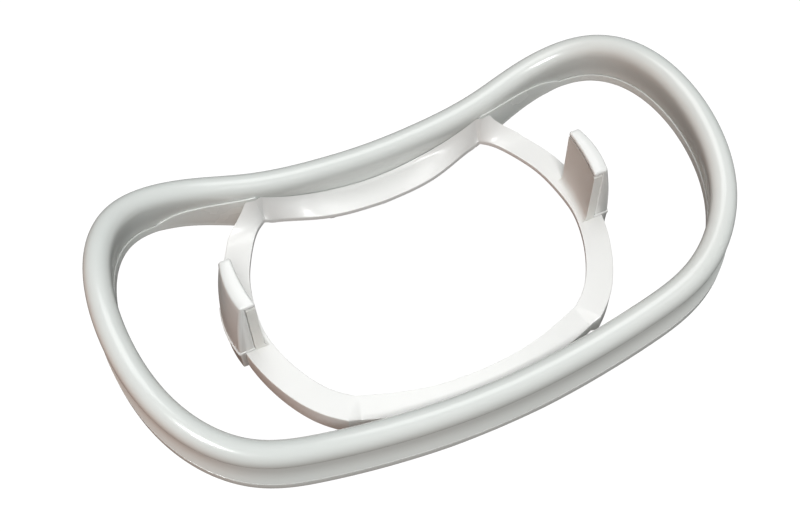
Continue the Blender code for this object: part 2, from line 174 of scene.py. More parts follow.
PATH_STEPS = 640
RING_STEPS_PER_SPAN = 14
POST_STEPS = 17
WALL_HALVINGS = 20
CORNER_STEPS = 3
CORNER_MOST_SHARE = 0.45  # of the side beside it that a rounded corner takes
NO_LENGTH = 1e-9
BAND_SHARES = tuple(np.linspace(0.0, 1.0, 13))
RIM_HALF = np.array([RIM_LENGTH / 2, RIM_WIDTH / 2])
RING_HALF = np.array([RING_LENGTH / 2, RIM_WIDTH / 2])
RING_CORNER_X = RING_FAR_EDGE[-1][0] * RING_HALF[0]

# Edges: the angle in degrees from which one is sharp or rounded
RIM_SHARP = 50
BASE_SHARP = 40
RING_SHARP = 22
POST_SHARP = 45
ROUNDED_FROM = 38

# Finishes
MIX_FIRST, MIX_SECOND, MIX_RESULT = 6, 7, 2  # colour sockets of a Mix node
ABS_IOR = 1.53
FLOW_WIDTH = 14 * MM
POLISH_WIDTH = 5 * MM
PAPER_FIBRE = 1.5 * MM
PAPER_RELIEF = 0.02 * MM

# Studio
SWEEP_FLOOR_RADIUS = 0.9
SWEEP_CURVE_RADIUS = 0.4
SWEEP_HEIGHT = 2.0
SWEEP_DROP = 0.02 * MM  # under the part
SWEEP_CURVE_STEPS = 12
SWEEP_SIDES = 64
SWEEP_GLOW = 1.02
ROOM_STRENGTH = 0.27
WOOD_STRENGTH = 1.3  # of the warm furniture on the left
FRONT_PLACE = (-0.08, -0.31, 0.50)
FRONT_SIZE = (0.17, 0.17)
FRONT_WATTS = 2.05
BACK_PLACE = (0.03, 0.12, 0.46)
BACK_SIZE = (0.3, 0.3)
BACK_WATTS = 0.76
CAMERA_LENS = 49.52
CAMERA_SENSOR = 36.0
CAMERA_RIGHT = (0.91266, -0.40817, -0.02125)
CAMERA_UP = (0.35158, 0.75747, 0.55012)
CAMERA_BACK = (-0.20844, -0.50954, 0.83482)
CAMERA_PLACE = (-0.044848, -0.098093, 0.171633)


# ---------------------------------------------------------------- shape helpers


def spline(points, closed):
    """Cubic curve through the points: returns a function of a share 0..1."""
    points = np.asarray(points, float)
    if closed:
        points = np.vstack([points, points[:1]])
    steps = np.linalg.norm(np.diff(points, axis=0), axis=1) ** 0.5
    knots = np.concatenate([[0.0], np.cumsum(steps)])
    count = len(points)
    system = np.zeros((count, count))
    right = np.zeros((count, points.shape[1]))
    slopes = np.diff(points, axis=0) / steps[:, None]
    for i in range(1, count - 1):
        system[i, i - 1 : i + 2] = steps[i - 1], 2 * (steps[i - 1] + steps[i]), steps[i]
        right[i] = 6 * (slopes[i] - slopes[i - 1])
    if closed:
        system[0, 0], system[0, -1] = 1, -1
        system[-1, 0], system[-1, 1] = 2 * (steps[0] + steps[-1]), steps[0]
        system[-1, -2] = steps[-1]
        right[-1] = 6 * (slopes[0] - slopes[-1])
    else:
        system[0, 0] = system[-1, -1] = 1
    bends = np.linalg.solve(system, right)

    def at(share):
        place = np.asarray(share, float) * knots[-1]
        span = np.clip(np.searchsorted(knots, place, side="right") - 1, 0, count - 2)
        size = steps[span][:, None]
        low = (knots[span + 1] - place)[:, None]
        high = (place - knots[span])[:, None]
        bend = bends[span] * low**3 + bends[span + 1] * high**3
        first = (points[span] / size - bends[span] * size / 6) * low
        last = (points[span + 1] / size - bends[span + 1] * size / 6) * high
        return bend / (6 * size) + first + last

    return at


def rim_path(steps):
    """Points of the rim's centre line, evenly spaced, and the outward direction at each."""
    right = np.array(RIM_OUTLINE) * RIM_HALF
    left = right[1:-1][::-1] * [-1, 1]
    curve = spline(np.vstack([right, left]), closed=True)
    fine = curve(np.linspace(0, 1, 40 * steps + 1))
    fine[:, 0] *= RIM_HALF[0] / fine[:, 0].max()
    lengths = np.linalg.norm(np.diff(fine, axis=0), axis=1)
    run = np.concatenate([[0.0], np.cumsum(lengths)])
    even = np.linspace(0, run[-1], steps, endpoint=False)
    points = np.stack([np.interp(even, run, fine[:, k]) for k in (0, 1)], axis=1)
    along = np.roll(points, -1, axis=0) - np.roll(points, 1, axis=0)
    along /= np.linalg.norm(along, axis=1)[:, None]
    return points, np.stack([-along[:, 1], along[:, 0]], axis=1)


wall_points, wall_outward = rim_path(PATH_STEPS)


def foot_height(x, y):
    """Height of the rim's underside: bowed up to both ends and lifted on the notch side."""
    share = 2 * x / RIM_LENGTH
    bow = END_RISE_SQUARE_SHARE * share**2 + (1 - END_RISE_SQUARE_SHARE) * share**4
    return END_RISE * bow + FAR_LIFT * (y / RIM_WIDTH + 0.5)


def ramp(value, low, high):
    """0 below low, 1 above high, with a smooth step between."""
    share = min(max((value - low) / (high - low), 0.0), 1.0)
    return share * share * (3 - 2 * share)


def rounded(corners):
    """Closed outline through (a, b, radius) corners, each one a small curve of CORNER_STEPS + 1 points."""
    places = [np.array(corner[:2], float) for corner in corners]
    outline = []
    for i, (place, corner) in enumerate(zip(places, corners)):
        before, after = places[i - 1], places[(i + 1) % len(places)]
        ends = []
        for other in (before, after):
            distance = np.linalg.norm(other - place)
            reach = min(corner[2], CORNER_MOST_SHARE * distance)
            ends.append(place + (other - place) * reach / max(distance, NO_LENGTH))
        start, end = ends
        for step in range(CORNER_STEPS + 1):
            t = step / CORNER_STEPS
            outline.append((1 - t) ** 2 * start + 2 * t * (1 - t) * place + t * t * end)
    return outline


def wall_lean(rise):
    """How far the rim's inner wall leans in at this height over its foot, on its way up to the bead."""
    return (BEAD_RADIUS - INNER_FOOT) * ramp(rise, STRIP_HEIGHT, RIM_HEIGHT - BEAD_RADIUS)


def strip_faces(rings, points, closed):
    """Quads between neighbouring sections; closed joins the last section to the first."""
    faces = []
    for i in range(rings if closed else rings - 1):
        following = (i + 1) % rings
        for j in range(points):
            beside = (j + 1) % points
            here, there = i * points, following * points
            faces.append((here + j, here + beside, there + beside, there + j))
    if not closed:
        faces.append(tuple(range(points)))
        faces.append(tuple((rings - 1) * points + j for j in range(points)))
    return faces


def link(name, data):
    made = bpy.data.objects.new(name, data)
    bpy.context.scene.collection.objects.link(made)
    return made


def shade(mesh, sharp_degrees):
    for face in mesh.polygons:
        face.use_smooth = True
    mesh.set_sharp_from_angle(angle=math.radians(sharp_degrees))


def clean(mesh, sharp_degrees):
    """Welds the mesh, turns its faces out and shades it."""
    work = bmesh.new()
    work.from_mesh(mesh)
    bmesh.ops.remove_doubles(work, verts=work.verts, dist=WELD)
    bmesh.ops.recalc_face_normals(work, faces=work.faces)
    work.to_mesh(mesh)
    work.free()
    shade(mesh, sharp_degrees)


def add_piece(name, vertices, faces, sharp_degrees):
    mesh = bpy.data.meshes.new(name)
    mesh.from_pydata([tuple(map(float, v)) for v in vertices], [], faces)
    clean(mesh, sharp_degrees)
    return link(name, mesh)


def add_node(tree, kind, settings=None, links=None):
    """Adds a node, with its settings (properties, or sockets by name or number) and what feeds it."""
    made = tree.nodes.new(kind)
    for name, value in (settings or {}).items():
        if isinstance(name, str) and hasattr(made, name):
            setattr(made, name, value)
        else:
            made.inputs[name].default_value = value
    for name, source in (links or {}).items():
        tree.links.new(source, made.inputs[name])
    return made


# ---------------------------------------------------------------- finishes


def linear(hex_colour):
    """sRGB hex to linear RGBA."""
    channels = [int(hex_colour[i : i + 2], 16) / 255 for i in (1, 3, 5)]
    turned = [c / 12.92 if c <= 0.04045 else ((c + 0.055) / 1.055) ** 2.4 for c in channels]
    return (*turned, 1.0)


def moulded_plastic(name, colour, flow_colour, roughness, coat, ripple_mm, ripple_height_mm):
    """White moulded ABS: flow marks tint it faintly, and mould ripple breaks up its reflections."""
    material = bpy.data.materials.new(name)
    material.use_nodes = True
    tree = material.node_tree
    shader = tree.nodes["Principled BSDF"]
    shader.inputs["IOR"].default_value = ABS_IOR
    shader.inputs["Coat Weight"].default_value = coat
    shader.inputs["Coat Roughness"].default_value = 0.08
    place = add_node(tree, "ShaderNodeTexCoord").outputs["Object"]
    # Flow marks: soft clouds where the melt ran from the gate
    stretched = add_node(
        tree, "ShaderNodeMapping", {"Scale": (0.6, 1.0, 1.6)}, {"Vector": place}
    )
    flow = add_node(
        tree, "ShaderNodeTexNoise",
        {"Scale": 1 / FLOW_WIDTH, "Detail": 3.0, "Roughness": 0.45},
        {"Vector": stretched.outputs["Vector"]},
    )
    tint = add_node(
        tree, "ShaderNodeMix", {"data_type": "RGBA"}, {"Factor": flow.outputs["Fac"]}
    )
    tint.inputs[MIX_FIRST].default_value = linear(colour)
    tint.inputs[MIX_SECOND].default_value = linear(flow_colour)
    tree.links.new(tint.outputs[MIX_RESULT], shader.inputs["Base Color"])
    # Handling polish: patches that are a little smoother
    polish = add_node(
        tree, "ShaderNodeTexNoise",
        {"Scale": 1 / POLISH_WIDTH, "Detail": 2.0},
        {"Vector": place},
    )
    spread = add_node(
        tree, "ShaderNodeMapRange",
        {"To Min": roughness * 0.8, "To Max": roughness * 1.25},
        {"Value": polish.outputs["Fac"]},
    )
    tree.links.new(spread.outputs["Result"], shader.inputs["Roughness"])
    # Mould ripple
    ripple = add_node(
        tree, "ShaderNodeTexNoise",
        {"Scale": 1 / (ripple_mm * MM), "Detail": 2.0},
        {"Vector": place},
    )
    bump = add_node(
        tree, "ShaderNodeBump",
        {"Strength": 1.0, "Distance": ripple_height_mm * MM},
        {"Height": ripple.outputs["Fac"]},
    )
    tree.links.new(bump.outputs["Normal"], shader.inputs["Normal"])
    return material


def sweep_paper():
    """Matt white seamless sweep, lit through from behind so that it stays white round the part."""
    material = bpy.data.materials.new("matt_white_sweep_paper")
    material.use_nodes = True
    tree = material.node_tree
    shader = tree.nodes["Principled BSDF"]
    shader.inputs["Base Color"].default_value = linear("#3C3C3B")
    shader.inputs["Roughness"].default_value = 0.9
    shader.inputs["Specular IOR Level"].default_value = 0.0
    shader.inputs["Emission Color"].default_value = linear("#FFFFFF")
    shader.inputs["Emission Strength"].default_value = SWEEP_GLOW
    place = add_node(tree, "ShaderNodeTexCoord").outputs["Object"]
    fibre = add_node(
        tree, "ShaderNodeTexNoise",
        {"Scale": 1 / PAPER_FIBRE, "Detail": 3.0},
        {"Vector": place},
    )
    bump = add_node(
        tree, "ShaderNodeBump",
        {"Strength": 0.3, "Distance": PAPER_RELIEF},
        {"Height": fibre.outputs["Fac"]},
    )
    tree.links.new(bump.outputs["Normal"], shader.inputs["Normal"])
    return material


# ---------------------------------------------------------------- lip rim, swept by Geometry Nodes


def rim_profile():
    """(outward, up) outline of the lip rim: outside wall, bead, inside wall, then the tongue's slot."""
    bottom = STRIP_HEIGHT + SEAM
    centre = RIM_HEIGHT - BEAD_RADIUS
    skin = [(OUTER_FOOT, bottom + OUTER_CHAMFER)]
    for share in (0.35, 0.7, 1.0):
        flare = OUTER_WAIST + (OUTER_FOOT - OUTER_WAIST) * (1 - share) ** 2
        skin.append((flare, bottom + share * WAIST_SHARE * (centre - bottom)))
    for degrees in range(-45, 181, 25):
        angle = math.radians(degrees)
        up = centre + BEAD_RADIUS * math.sin(angle)
        skin.append((BEAD_RADIUS * math.cos(angle), up))
    for share in (0.8, 0.6, 0.4, 0.2):
        up = bottom + share * (centre - bottom)
        skin.append((-INNER_FOOT - wall_lean(up), up))
    skin.append((-INNER_FOOT, bottom + INNER_CHAMFER))
    skin = spline(skin, closed=False)(np.linspace(0, 1, PROFILE_STEPS))
    roof = bottom + SLOT_SHARE * (centre - bottom)
    slot = [
        (-INNER_FOOT + INNER_CHAMFER, bottom),
        (-INNER_FOOT + RIM_CORE_WALL + SLOT_FLARE_INNER, bottom),
        (-INNER_FOOT + RIM_CORE_WALL, roof),
        (OUTER_WAIST - RIM_CORE_WALL, roof),
        (OUTER_FOOT - RIM_CORE_WALL - SLOT_FLARE_OUTER, bottom),
        (OUTER_FOOT - OUTER_CHAMFER, bottom),
    ]
    return [tuple(point) for point in skin] + slot


def line_object(name, points):
    """A closed poly curve object through 3-D points."""
    curve = bpy.data.curves.new(name, "CURVE")
    curve.dimensions = "3D"
    line = curve.splines.new("POLY")
    line.points.add(len(points) - 1)
    for place, point in zip(line.points, points):
        place.co = (*map(float, point), 1.0)
    line.use_cyclic_u = True
    return link(name, curve)


def bowed_sweep_tree():
    """Sweeps a profile round a flat path, then lifts every cut by the bow at its point of the path."""
    tree = bpy.data.node_groups.new("bowed_sweep", "GeometryNodeTree")
    sockets = (
        ("Path", "NodeSocketGeometry"),
        ("Profile", "NodeSocketObject"),
        ("Path length", "NodeSocketFloat"),
        ("Path width", "NodeSocketFloat"),
        ("End rise", "NodeSocketFloat"),
        ("Square share", "NodeSocketFloat"),
        ("Far lift", "NodeSocketFloat"),
        ("Finish", "NodeSocketMaterial"),
    )
    for name, kind in sockets:
        tree.interface.new_socket(name, in_out="INPUT", socket_type=kind)
    tree.interface.new_socket("Swept", in_out="OUTPUT", socket_type="NodeSocketGeometry")
    given = add_node(tree, "NodeGroupInput").outputs
    profile = add_node(tree, "GeometryNodeObjectInfo", {}, {"Object": given["Profile"]})
    upright = add_node(
        tree, "GeometryNodeSetCurveNormal", {"mode": "Z_UP"}, {"Curve": given["Path"]}
    )
    place = add_node(tree, "GeometryNodeInputPosition")
    kept = add_node(tree, "GeometryNodeCaptureAttribute", {"domain": "POINT"})
    kept.capture_items.new("VECTOR", "Place")
    tree.links.new(upright.outputs["Curve"], kept.inputs["Geometry"])
    tree.links.new(place.outputs["Position"], kept.inputs["Place"])
    swept = add_node(
        tree, "GeometryNodeCurveToMesh", {},
        {"Curve": kept.outputs["Geometry"], "Profile Curve": profile.outputs["Geometry"]},
    )
    part = add_node(tree, "ShaderNodeSeparateXYZ", {}, {"Vector": kept.outputs["Place"]})

    def worked_out(operation, first, second):
        made = add_node(tree, "ShaderNodeMath", {"operation": operation})
        for socket, value in zip(made.inputs, (first, second)):
            if isinstance(value, (int, float)):
                socket.default_value = value
            else:
                tree.links.new(value, socket)
        return made.outputs["Value"]

    twice = worked_out("MULTIPLY", part.outputs["X"], 2.0)
    share = worked_out("DIVIDE", twice, given["Path length"])
    square = worked_out("MULTIPLY", share, share)
    fourth = worked_out("MULTIPLY", square, square)
    rest = worked_out("SUBTRACT", 1.0, given["Square share"])
    square_part = worked_out("MULTIPLY", square, given["Square share"])
    bow = worked_out("ADD", square_part, worked_out("MULTIPLY", fourth, rest))
    across = worked_out("ADD", worked_out("DIVIDE", part.outputs["Y"], given["Path width"]), 0.5)
    raised = worked_out("MULTIPLY", bow, given["End rise"])
    lift = worked_out("ADD", raised, worked_out("MULTIPLY", across, given["Far lift"]))
    offset = add_node(tree, "ShaderNodeCombineXYZ", {}, {"Z": lift})
    bowed = add_node(
        tree, "GeometryNodeSetPosition", {},
        {"Geometry": swept.outputs["Mesh"], "Offset": offset.outputs["Vector"]},
    )
    whole = add_node(
        tree, "GeometryNodeRealizeInstances", {}, {"Geometry": bowed.outputs["Geometry"]}
    )
    painted = add_node(
        tree, "GeometryNodeSetMaterial", {},
        {"Geometry": whole.outputs["Geometry"], "Material": given["Finish"]},
    )
    add_node(tree, "NodeGroupOutput", {}, {"Swept": painted.outputs["Geometry"]})
    return tree


def make_rim_shell(finish):
    path = line_object("rim_path_line", [(x, y, 0.0) for x, y in wall_points])
    # Curve to Mesh lays the profile's X towards the inside of this path and its Y downwards
    outline = [(-across, -up, 0.0) for across, up in rim_profile()]
    profile = line_object("rim_profile_line", outline)
    tree = bowed_sweep_tree()
    sweep = path.modifiers.new("bowed_sweep", "NODES")
    sweep.node_group = tree
    values = {
        "Profile": profile,
        "Path length": RIM_LENGTH,
        "Path width": RIM_WIDTH,
        "End rise": END_RISE,
        "Square share": END_RISE_SQUARE_SHARE,
        "Far lift": FAR_LIFT,
        "Finish": finish,
    }
    for item in tree.interface.items_tree:
        if item.in_out == "INPUT" and item.name in values:
            sweep[item.identifier] = values[item.name]
    bpy.context.view_layer.update()
    graph = bpy.context.evaluated_depsgraph_get()
    mesh = bpy.data.meshes.new_from_object(path.evaluated_get(graph), depsgraph=graph)
    mesh.name = "rim_shell_moulding"
    for line in (path, profile):
        bpy.data.objects.remove(line, do_unlink=True)
    clean(mesh, RIM_SHARP)
    return link("rim_shell_moulding", mesh)


# ---------------------------------------------------------------- base loop


def base_bottom(x, y):
    """Lowest height of the base, which on the notch side comes down in the middle and in each gusset."""
    foot = max(foot_height(x, y) - REST_DEPTH, 0.0)
    if y < 0 or abs(x) > GUSSET_END:
        return foot
    if abs(x) < GUSSET_START:
        return foot * ramp(abs(x), FAR_FOOT_END, FAR_FOOT_END + FAR_FOOT_RISE)
    end = foot_height(GUSSET_END, y) - REST_DEPTH
    share = (abs(x) - GUSSET_START) / (GUSSET_END - GUSSET_START)
    return min(foot, GUSSET_LOW + share * (end - GUSSET_LOW))


def gusset_share(x, y):
    """How far the gusset's inner lip stands in from the rim: 0 none, 1 in full."""
    if y < 0:
        return 0.0
    start = ramp(abs(x), GUSSET_START - GUSSET_EDGE, GUSSET_START)
    return start * (1 - ramp(abs(x), GUSSET_END - GUSSET_TAPER, GUSSET_END))


def ledge_depth(x, y):
    """How far the base reaches in under the ring."""
    if y > 0:
        return FAR_LEDGE_DEPTH * (1 - ramp(abs(x), FAR_FOOT_END - GUSSET_TAPER, FAR_FOOT_END))
    return NEAR_LEDGE_DEPTH * (1 - ramp(abs(x), NEAR_LEDGE_END - GUSSET_TAPER, NEAR_LEDGE_END))


def lip_height(x, top):
    """Top of the gusset's lip: level beside the ring, then running down to the strip."""
    end_top = foot_height(GUSSET_END, RIM_WIDTH / 2) + STRIP_HEIGHT
    down = ramp(abs(x), GUSSET_END - 2 * GUSSET_TAPER, GUSSET_END)
    return max(top, GUSSET_TOP + (end_top - GUSSET_TOP) * down)


def make_base_loop():
    vertices = []
    for (x, y), (out_x, out_y) in zip(wall_points, wall_outward):
        foot = foot_height(x, y)
        low = base_bottom(x, y)
        top = foot + STRIP_HEIGHT
        share = gusset_share(x, y)
        lip_outer = -INNER_FOOT - SEAM
        lip_inner = lip_outer - STRIP_PROUD - (GUSSET_FLANGE - STRIP_PROUD) * share
        lip_top = lip_height(x, top) if share > 0 else top
        lip_top = top + (lip_top - top) * min(1.0, LIP_RISE * share)
        lean = wall_lean(lip_top - foot)
        ledge_end = lip_inner - ledge_depth(x, y) - LEDGE_LEAST
        ledge_top = min(max(FAR_LEDGE_TOP, low + LEDGE_THICKNESS), top) if y > 0 else top
        outer = OUTER_FOOT + STRIP_OVERHANG
        corners = (  # outward, up, radius
            (outer, low, 0.2 * MM),
            (outer, top, 0.12 * MM),
            (TONGUE_ROOT[1], top, 0.05 * MM),
            (TONGUE_TIP[1], top + TONGUE_HEIGHT, 0.1 * MM),
            (TONGUE_TIP[0], top + TONGUE_HEIGHT, 0.1 * MM),
            (TONGUE_ROOT[0], top, 0.05 * MM),
            (lip_outer, top, 0.02 * MM),
            (lip_outer - lean, lip_top, 0.04 * MM),
            (lip_inner - lean, lip_top - LIP_SLOPE, 0.14 * MM),
            (lip_inner, ledge_top - LEDGE_STEP, 0.1 * MM),
            (ledge_end, ledge_top - LEDGE_STEP, 0.25 * MM),
            (ledge_end, low, 0.2 * MM),
        )
        for across, up in rounded(corners):
            vertices.append((x + across * out_x, y + across * out_y, up))
    faces = strip_faces(PATH_STEPS, len(vertices) // PATH_STEPS, closed=True)
    return add_piece("base_loop_moulding", vertices, faces, BASE_SHARP)


# ---------------------------------------------------------------- guide ring


def wall_y(x, side, inset):
    """Where the rim's inner wall is at this x, on the notch side (+1) or the chin side (-1), this far in."""
    inner = wall_points - (INNER_FOOT + inset) * wall_outward
    chosen = inner[inner[:, 1] * side > 0]
    chosen = chosen[np.argsort(chosen[:, 0])]
    return float(np.interp(x, chosen[:, 0], chosen[:, 1]))


def band_top(x):
    """Height of the ring where it meets the rim's wall on the notch side."""
    share = min(abs(x) / RING_CORNER_X, 1.0)
    return FAR_BAND_MIDDLE + (FAR_BAND_END - FAR_BAND_MIDDLE) * share**2


def far_wall(x):
    """Where the ring stops short of the rim's wall and of the gusset's lip, on the notch side."""
    lip = (SEAM + GUSSET_FLANGE) * gusset_share(x, 1)
    lean = wall_lean(band_top(x) + CREASE_FILLET - foot_height(x, wall_y(x, 1, 0.0)))
    return wall_y(x, 1, SEAM + lip + lean)


def ring_edge():
    """Inner edge of the ring on the +X half: each point's kind of stretch, place and outward direction."""
    stretches = {"far": RING_FAR_EDGE, "side": RING_SIDE_EDGE, "near": RING_NEAR_EDGE}
    stations = []
    for kind, share_points in stretches.items():
        curve = spline(np.array(share_points) * RING_HALF, closed=False)
        count = RING_STEPS_PER_SPAN * (len(share_points) - 1)
        points = curve(np.linspace(0, 1, count + 1))
        along = np.gradient(points, axis=0)
        along /= np.linalg.norm(along, axis=1)[:, None]
        for point, direction in zip(points, along):
            stations.append((kind, point, np.array([-direction[1], direction[0]])))
    return stations


def curl(point):
    """How far up its curl a point of the ring is: 0 where it is flat, 1 at the wall."""
    reach = far_wall(point[0]) - point[1]
    return min(max(0.0, 1 - reach / CURL_REACH), 1.0) ** 2


def ring_section(inner, outer, heights, skirt):
    """Cut through the ring: its top from the inner edge out, its skirt, then its underside."""
    width = np.linalg.norm(outer - inner)
    across = (outer - inner) / width
    skirt_share = 1 - min(SKIRT_THICKNESS / width, SKIRT_MOST_SHARE)
    under = float(np.interp(skirt_share, BAND_SHARES, heights)) - RING_THICKNESS
    corners = [(share * width, up, 0.12 * MM) for share, up in zip(BAND_SHARES, heights)]
    corners[-1] = (width, heights[-1], 0.3 * MM)
    corners += [
        (width, skirt, 0.15 * MM),
        (skirt_share * width, skirt, 0.15 * MM),
        (skirt_share * width, under, 0.3 * MM),
        (0.0, heights[0] - RING_THICKNESS, 0.12 * MM),
    ]
    return [(*(inner + a * across), b) for a, b in rounded(corners)]


def far_section(point):
    """The ring on the notch side: it slopes up to the rim's wall, with a soft fillet there."""
    blend = ramp(RING_CORNER_X - point[0], 0.0, CORNER_BLEND)
    low = RING_TOP - FAR_BAND_DROP * blend
    high = band_top(point[0])
    hollow = 1 - blend
    outer = np.array([point[0], far_wall(point[0])])
    width = np.linalg.norm(outer - point)
    heights = []
    for share in BAND_SHARES:
        fillet = CREASE_FILLET * max(0.0, 1 - (1 - share) * width / CREASE_REACH) ** 2
        rise = hollow * share**3 + (1 - hollow) * share
        heights.append(low + (high - low) * rise + fillet)
    skirt = FAR_LEDGE_TOP + SEAM
    skirt += (SKIRT_RAISED - skirt) * ramp(point[0], FAR_FOOT_END, FAR_FOOT_END + FAR_FOOT_RISE)
    return ring_section(point, outer, heights, skirt)


def reach_to_wall(point, outward, most):
    """How far outwards the ring goes from this point before it meets the wall on the notch side."""
    low, high = 0.0, most
    for _ in range(WALL_HALVINGS):
        middle = (low + high) / 2
        x, y = point + middle * outward
        low, high = (middle, high) if y < far_wall(x) else (low, middle)
    return high


def side_section(point, outward):
    """The ring's side arc: flat, with its outer part curled up where it meets the rim's wall."""
    far_corner = np.array(RING_SIDE_EDGE[0]) * RING_HALF
    nearness = 1 - ramp(np.linalg.norm(point - far_corner), 0.0, CORNER_REACH)
    width = BAND_WIDTH * (1 - CORNER_NARROWING * nearness)
    outer = point + reach_to_wall(point, outward, width) * outward
    start = curl(point)
    heights = []
    for share in BAND_SHARES:
        lift = (curl(point + share * (outer - point)) - start) / (1 - start)
        heights.append(RING_TOP + (FAR_BAND_END - RING_TOP) * max(lift, 0.0))
    raised = ramp(curl(outer), *SKIRT_RISE_CURL)
    skirt = SKIRT_BOTTOM + (SKIRT_RAISED - SKIRT_BOTTOM) * raised
    return ring_section(point, outer, heights, skirt)


def near_section(point, outward):
    """The ring on the chin side: past its crease, its outer edge is lower and stands on the base."""
    corner = np.array(RING_NEAR_EDGE[0]) * RING_HALF
    lean = wall_lean(RING_TOP - foot_height(point[0], -RIM_WIDTH / 2))
    reach = (wall_y(point[0], -1, SEAM + lean) - point[1]) / outward[1]
    outer = point + min(NEAR_BAND_WIDTH, reach) * outward
    drop = NEAR_BAND_DROP * ramp(np.linalg.norm(point - corner), 0.0, NEAR_CREASE)
    heights = [RING_TOP - drop * share for share in BAND_SHARES]
    return ring_section(point, outer, heights, foot_height(*outer) + STRIP_HEIGHT + SEAM)


def ring_sections():
    """Sections of the ring on the +X half, from the notch side round to the chin side."""
    sections = {"far": [], "side": [], "near": []}
    for kind, point, outward in ring_edge():
        if kind == "far":
            sections[kind].append(far_section(point))
        elif kind == "side":
            sections[kind].append(side_section(point, outward))
        else:
            sections[kind].append(near_section(point, outward))
    return sections["far"][:-1] + sections["side"] + sections["near"][1:]


def make_guide_ring():
    right = ring_sections()
    left = right[1:-1][::-1]
    vertices = []
    for section, mirror in [(s, 1) for s in right] + [(s, -1) for s in left]:
        vertices += [(mirror * x, y, z) for x, y, z in section]
    faces = strip_faces(len(right) + len(left), len(right[0]), closed=True)
    return add_piece("guide_ring_moulding", vertices, faces, RING_SHARP)


# ---------------------------------------------------------------- bite posts


def ring_side_x(y):
    """Inner and outer x of the ring's side arc at this y."""
    inner, outer = [], []
    for kind, point, outward in ring_edge():
        if kind == "side":
            inner.append(tuple(point[::-1]))
            outer.append(tuple((point + BAND_WIDTH * outward)[::-1]))
    return tuple(float(np.interp(y, *zip(*sorted(edge)))) for edge in (inner, outer))


def post_stations():
    """(y, inner x, ring's outer x, outer x at the foot, outer x at the top) along a post."""
    ring_inner, ring_outer = ring_side_x(POST_MIDDLE_Y)
    stations = []
    for share in np.linspace(-1, 1, POST_STEPS):
        y = POST_MIDDLE_Y + share * POST_LENGTH / 2
        bulge = POST_BULGE * (1 - share**2)
        inner = ring_inner + POST_SETBACK + POST_SLANT * share + bulge / 2
        hook = ring_side_x(y)[1] + SEAM
        foot = ring_outer + POST_FOOT + bulge
        top = ring_outer - POST_TOP_INSET + bulge
        stations.append((y, inner, hook, foot, top))
    return stations


def add_post_piece(name, section_at, side):
    """A closed bar of sections along the post; section_at gives a section's (x, z) points."""
    vertices = []
    for y, *edges in post_stations():
        section = section_at(*edges)
        vertices += [(side * x, y, z) for x, z in section]
    faces = strip_faces(POST_STEPS, len(section), closed=False)
    return add_piece(name, vertices, faces, POST_SHARP)


def core_section(inner, hook, foot, top):
    bottom = RING_TOP + SEAM
    under = POST_TOP - CAP_THICKNESS - CAP_GROOVE
    section = []
    for step in range(CORE_ROOT_STEPS + 1):  # concave root on the inner face
        angle = math.pi / 2 * step / CORE_ROOT_STEPS
        x = inner - CORE_ROOT_REACH * (1 - math.sin(angle))
        section.append((x, bottom + CORE_ROOT_HEIGHT * (1 - math.cos(angle))))
    section.append((inner, under))
    section.append((inner + CORE_THICKNESS, under))
    section.append((inner + CORE_THICKNESS, bottom))
    return section


def cap_section(inner, hook, foot, top):
    """Top plate and outer wall of the cap."""
    under = POST_TOP - CAP_THICKNESS
    bottom = RING_TOP + CAP_FOOT
    beside_core = inner + CORE_THICKNESS + SEAM
    section = [(inner - CAP_OVERHANG, under), (beside_core, under), (beside_core, bottom)]
    for step in range(CAP_WALL_STEPS + 1):  # convex outer wall
        share = step / CAP_WALL_STEPS
        x = foot + (top - foot) * share + CAP_SWELL * math.sin(math.pi * share)
        section.append((x, bottom + (POST_TOP - bottom) * share))
    section.append((inner - CAP_OVERHANG, POST_TOP))
    return section


def foot_section(inner, hook, foot, top):
    """Flange under the cap, with the hook over the ring's outer edge."""
    bottom = RING_TOP + SEAM
    flange_top = RING_TOP + FLANGE_HEIGHT
    hook_end = RING_TOP - HOOK_DROP
    beside_core = inner + CORE_THICKNESS + SEAM
    return [
        (beside_core, flange_top),
        (beside_core, bottom),
        (hook, bottom),
        (hook, hook_end),
        (max(foot - HOOK_TAPER, hook + HOOK_THICKNESS), hook_end),
        (max(foot, hook + HOOK_THICKNESS), bottom - HOOK_SHOULDER),
        (foot + FLANGE_PROUD, bottom + FLANGE_EDGE),
        (foot + FLANGE_PROUD, flange_top),
    ]


def rounded_off(piece, width, segments):
    """The piece with its edges rounded, as a plain mesh."""
    rounding = piece.modifiers.new("rounded_edges", "BEVEL")
    rounding.width = width
    rounding.segments = segments
    rounding.limit_method = "ANGLE"
    rounding.angle_limit = math.radians(ROUNDED_FROM)
    rounding.harden_normals = True
    graph = bpy.context.evaluated_depsgraph_get()
    mesh = bpy.data.meshes.new_from_object(piece.evaluated_get(graph), depsgraph=graph)
    piece.modifiers.clear()
    piece.data = mesh
    return piece


def join(name, pieces):
    """Several closed shells as one piece."""
    work = bmesh.new()
    for piece in pieces:
        work.from_mesh(piece.data)
        bpy.data.objects.remove(piece, do_unlink=True)
    mesh = bpy.data.meshes.new(name)
    work.to_mesh(mesh)
    work.free()
    shade(mesh, POST_SHARP)
    return link(name, mesh)


def make_post_core(name, side):
    return rounded_off(add_post_piece(name, core_section, side), 0.14 * MM, 3)


def make_post_cap(name, side):
    body = add_post_piece(name + "_body", cap_section, side)
    foot = add_post_piece(name + "_foot", foot_section, side)
    return join(name, [rounded_off(body, 0.38 * MM, 4), rounded_off(foot, 0.1 * MM, 2)])


# ---------------------------------------------------------------- stage, light and camera


